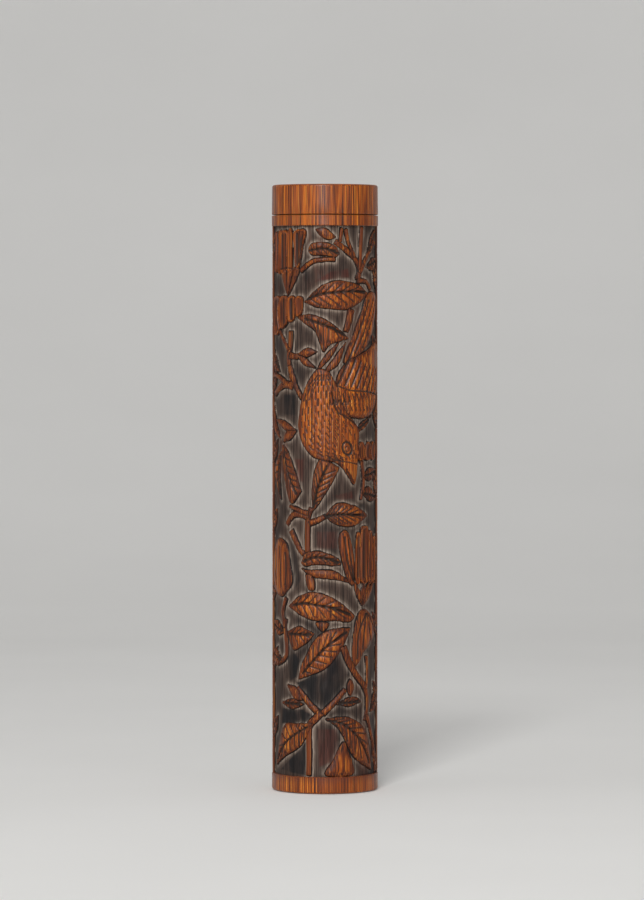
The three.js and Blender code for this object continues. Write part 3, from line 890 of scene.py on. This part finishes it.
def make_base(material):
    disc = turned("base", [(0, BASE_BOTTOM), (4, BASE_BOTTOM), (4.4, BASE_BOTTOM + 0.4), (4.8, BASE_BOTTOM),
                           (BASE_RADIUS, BASE_BOTTOM), (BASE_RADIUS, BASE_TOP), (0, BASE_TOP)], 128, 0.12)
    finish_piece(disc, "base_disc", "case", material)


def make_collar(material):
    collar = turned("collar", [(BORE, COLLAR_BOTTOM), (COLLAR_RADIUS, COLLAR_BOTTOM),
                               (COLLAR_RADIUS, COLLAR_TOP), (BORE, COLLAR_TOP), (BORE, COLLAR_BOTTOM)],
                    160, 0.3)
    finish_piece(collar, "neck_collar", "collar", material)


# The pieces of the brush

def make_knob(material):
    peg = STEM_RADIUS / 2 - FIT
    shoulder = STEM_BOTTOM - FIT
    tall = shoulder - KNOB_BOTTOM
    outline = curve([(KNOB_RADIUS * 0.6, KNOB_BOTTOM), (KNOB_RADIUS, KNOB_BOTTOM + tall * 0.3),
                     (4.75, KNOB_BOTTOM + tall * 0.68), (STEM_RADIUS, KNOB_BOTTOM + tall * 0.88)])
    profile = [(0, KNOB_BOTTOM), *outline, (STEM_RADIUS, shoulder), (peg, shoulder), (peg, KNOB_TOP),
               (0, KNOB_TOP)]
    finish_piece(turned("knob", profile, 96), "brush_finial", "brush", material)


def make_stem(material):
    """The stem, with a low ring at each of its two nodes."""
    profile = [(STEM_RADIUS / 2, STEM_BOTTOM), (STEM_RADIUS - 0.25, STEM_BOTTOM)]
    for level in (STEM_BOTTOM + 34, STEM_BOTTOM + 84):
        profile += [(STEM_RADIUS - 0.25, level - 2), (STEM_RADIUS - 0.02, level - 0.6),
                    (STEM_RADIUS - 0.35, level), (STEM_RADIUS - 0.05, level + 0.6),
                    (STEM_RADIUS - 0.25, level + 2)]
    profile += [(STEM_RADIUS - 0.25, STEM_TOP), (STEM_RADIUS / 2, STEM_TOP), (STEM_RADIUS / 2, STEM_BOTTOM)]
    finish_piece(turned("brush_stem", profile, 96, 0.1), "brush_handle", "brush", material)


def make_bowl(material):
    tall = BOWL_TOP - BOWL_BOTTOM
    socket = STEM_RADIUS + FIT
    cup = BOWL_RADIUS - 1.8
    outline = curve([(8, BOWL_BOTTOM), (8, BOWL_BOTTOM + tall * 0.12),
                     (BOWL_RADIUS * 0.8, BOWL_BOTTOM + tall * 0.38),
                     (BOWL_RADIUS * 0.975, BOWL_BOTTOM + tall * 0.72),
                     (BOWL_RADIUS, BOWL_TOP - 0.4)], steps=8)
    profile = [(0, STEM_TOP + FIT), (socket, STEM_TOP + FIT), (socket, BOWL_BOTTOM), *outline,
               (BOWL_RADIUS - 0.4, BOWL_TOP), (cup, BOWL_TOP), (cup, HAIR_ROOT - FIT), (0, HAIR_ROOT - FIT)]
    finish_piece(turned("brush_bowl", profile, 128), "brush_ferrule", "brush", material)


# The tuft's radius at its root, belly and tip, that of its stiff middle, and how far up the belly is
TUFT_ROOT = BOWL_RADIUS - 1.9
TUFT_BELLY = 12.75
TUFT_TIP = 0.4
TUFT_CORE = 7.5
BELLY_SHARE = 0.2


def tuft_radius(share):
    """The tuft's radius, by the share of its length from the bowl to the tip."""
    swell = min(share / BELLY_SHARE, 1)
    swell = swell * swell * (3 - 2 * swell)
    taper = max(1 - max((share - BELLY_SHARE) / (1 - BELLY_SHARE), 0) ** 1.9, 0)
    return TUFT_TIP + (TUFT_ROOT + (TUFT_BELLY - TUFT_ROOT) * swell - TUFT_TIP) * taper ** 0.7


def comb(piece, depth, ridges):
    """Works the surface of hair into locks and strands."""
    for vertex in piece.data.vertices:
        x, y, z = vertex.co
        radius = math.hypot(x, y)
        if radius > 0.6 * MM:
            angle = math.atan2(y, x)
            lean = 0.25 * math.sin(z / MM * 0.05 + 3 * math.cos(angle))
            lock = 0.5 + 0.5 * math.sin(ridges * angle + lean * 9)
            strand = 0.5 + 0.5 * math.sin(ridges * 5.0 * angle + 7 * lean)
            sink = depth * MM * (0.65 * (1 - lock) ** 2 + 0.35 * strand)
            scale = max(radius - sink, 0.3 * MM) / radius
            vertex.co = (x * scale, y * scale, z)


def make_hairs(soft, stiff, thread):
    """The stiff middle, the soft hair round it and the thread that ties their root."""
    length = HAIR_TIP - BOWL_TOP
    mantle_share = (MANTLE_TOP - BOWL_TOP) / length

    def core_radius(share):
        free = min(max((share - mantle_share + 0.06) / 0.1, 0), 1)
        free = free * free * (3 - 2 * free)
        full = tuft_radius(share)
        return min(TUFT_CORE, full * 0.7) * (1 - free) + full * free

    shares = [i / 40 for i in range(41)]
    profile = [(0, CORE_ROOT), (TUFT_CORE, CORE_ROOT)]
    profile += [(core_radius(share), BOWL_TOP + length * share) for share in shares]
    profile += [(0, HAIR_TIP)]
    piece = turned("stiff_hair", profile, 240)
    comb(piece, depth=0.18, ridges=26)
    finish_piece(piece, "brush_core_hair", "brush", stiff, 80)
    tied = TUFT_ROOT - 0.8
    outer = [(max(tuft_radius(s * mantle_share) - 0.15 * s, core_radius(s * mantle_share) + 0.5),
              BOWL_TOP + length * mantle_share * s) for s in shares[::2]]
    inner = [(core_radius(s * mantle_share) + 0.3, BOWL_TOP + length * mantle_share * s)
             for s in shares[::-2]]
    profile = [(TUFT_CORE + 0.3, HAIR_ROOT), (TUFT_ROOT, HAIR_ROOT), (TUFT_ROOT, THREAD_BOTTOM - FIT),
               (tied, THREAD_BOTTOM - FIT), (tied, THREAD_TOP + FIT), (TUFT_ROOT, THREAD_TOP + FIT),
               *outer, *inner, (TUFT_CORE + 0.3, HAIR_ROOT)]
    piece = turned("soft_hair", profile, 280)
    comb(piece, depth=0.22, ridges=30)
    finish_piece(piece, "brush_mantle_hair", "brush", soft, 80)
    turns = 4
    pitch = (THREAD_TOP - THREAD_BOTTOM) / turns
    profile = [(tied + 0.1, THREAD_BOTTOM)]
    for i in range(turns):
        centre = THREAD_BOTTOM + pitch * (i + 0.5)
        profile += arc(THREAD_RADIUS - pitch / 2, centre, pitch / 2, -80, 80, 4)
    profile += [(tied + 0.1, THREAD_TOP), (tied + 0.1, THREAD_BOTTOM)]
    finish_piece(turned("thread_turns", profile, 96), "tuft_binding", "brush", thread)


# Camera, floor and light

# The camera's place in mm, its tilt in degrees and its lens for a picture 36 mm high
CAMERA_PLACE = (-1.1, -1700, 180.6)
CAMERA_TILT = 1.767
CAMERA_LENS = 180.2

# The floor's level in mm, and the sweep in metres: its width, its front edge, where it starts to curve,
# the radius of the curve and the height of the wall above that
FLOOR_LEVEL = -0.2
SWEEP_WIDTH = 12
SWEEP_FRONT = -5.0
SWEEP_START = 0.8
SWEEP_RADIUS = 1.6
SWEEP_WALL = 3.0


def make_camera():
    """The photograph's view: from about 1.7 m, a little above the middle, with a long lens."""
    data = bpy.data.cameras.new("camera")
    data.sensor_fit = "VERTICAL"
    data.sensor_height = 36.0
    data.lens = CAMERA_LENS
    camera = add_object("camera", data)
    camera.location = [part * MM for part in CAMERA_PLACE]
    camera.rotation_euler = (math.radians(90 - CAMERA_TILT), 0, 0)
    data.clip_end = 20
    bpy.context.scene.camera = camera


def make_floor():
    """A pale sweep: a floor that curves up into a backdrop."""
    bpy.ops.object.select_all(action="DESELECT")
    bpy.ops.mesh.primitive_plane_add(size=1, location=(0, 0, FLOOR_LEVEL * MM))
    floor = bpy.context.object
    floor.name = "floor"
    for vertex in floor.data.vertices:
        vertex.co.x *= SWEEP_WIDTH
        vertex.co.y = SWEEP_FRONT if vertex.co.y < 0 else SWEEP_START
    bpy.ops.object.mode_set(mode="EDIT")
    bpy.ops.mesh.select_mode(type="EDGE")
    bpy.ops.mesh.select_all(action="DESELECT")
    bpy.ops.object.mode_set(mode="OBJECT")
    for edge in floor.data.edges:
        edge.select = all(floor.data.vertices[v].co.y > 0 for v in edge.vertices)
    bpy.ops.object.mode_set(mode="EDIT")
    turns = [math.radians(90 * i / 16) for i in range(17)]
    for last, turn in zip(turns, turns[1:]):
        step = (0, SWEEP_RADIUS * (math.sin(turn) - math.sin(last)),
                SWEEP_RADIUS * (math.cos(last) - math.cos(turn)))
        bpy.ops.mesh.extrude_region_move(TRANSFORM_OT_translate={"value": step})
    bpy.ops.mesh.extrude_region_move(TRANSFORM_OT_translate={"value": (0, 0, SWEEP_WALL)})
    bpy.ops.object.mode_set(mode="OBJECT")
    bpy.ops.object.shade_smooth()
    finish = Finish("pale_sweep", 0.9)
    cloud = finish.noise(3.0, 3.0)
    finish.done(finish.ramp(cloud, [(0.3, (226, 225, 222)), (0.7, (232, 231, 228))]))
    seen = finish.nodes.new("ShaderNodeLightPath").outputs["Is Camera Ray"]
    set_inputs(finish.shader, {"Emission Color": srgb(236, 235, 232)})
    lift = finish.value(seen, 0.0, 1.0, 0.0, 0.12)
    finish.links.new(lift, finish.shader.inputs["Emission Strength"])
    floor.data.materials.append(finish.material)


def make_light():
    """An even room and four soft lamps, by name, place, target and size in metres, and power in watts."""
    world = bpy.data.worlds.new("soft_room")
    world.use_nodes = True
    bpy.context.scene.world = world
    background = world.node_tree.nodes["Background"]
    set_inputs(background, {"Color": srgb(236, 236, 238), "Strength": 0.34})
    for name, place, target, size, energy in (
        ("key", (-0.35, -2.3, 1.8), (0, 0, 0.13), 0.7, 44.0),
        ("fill", (1.2, -1.2, 0.5), (0, 0, 0.12), 1.0, 1.5),
        ("left", (-1.5, -0.7, 0.5), (0, 0, 0.12), 1.0, 1.8),
        ("front", (-0.2, -2.6, 0.4), (0, 0, 0.12), 0.6, 9.0),
    ):
        data = bpy.data.lights.new(name, "AREA")
        data.shape = "SQUARE"
        data.size = size
        data.energy = energy
        lamp = add_object(name, data)
        lamp.location = place
        away = [p - t for p, t in zip(place, target)]
        flat = math.hypot(away[0], away[1])
        lamp.rotation_euler = (math.atan2(flat, away[2]), 0, math.atan2(away[0], -away[1]))


carve_all_round()
band = make_band_bamboo()
make_carved_skin(make_carved_bamboo())
make_case_wall(band)
dark = make_dark_wood()
make_lid(band, dark)
make_base(dark)
make_collar(make_scraped_bamboo("scraped_bamboo", (206, 164, 104), (150, 104, 56), 0.5))
horn = make_horn()
make_knob(horn)
make_stem(make_scraped_bamboo("stem_bamboo", (214, 168, 96), (168, 118, 58), 0.38))
make_bowl(horn)
make_hairs(make_hair("soft_hair", (196, 182, 152), (244, 238, 222), 0.75),
           make_hair("stiff_hair", (74, 42, 20), (150, 96, 52), 0.65), make_thread())
make_camera()
make_floor()
make_light()
bpy.context.scene.view_settings.view_transform = "Standard"
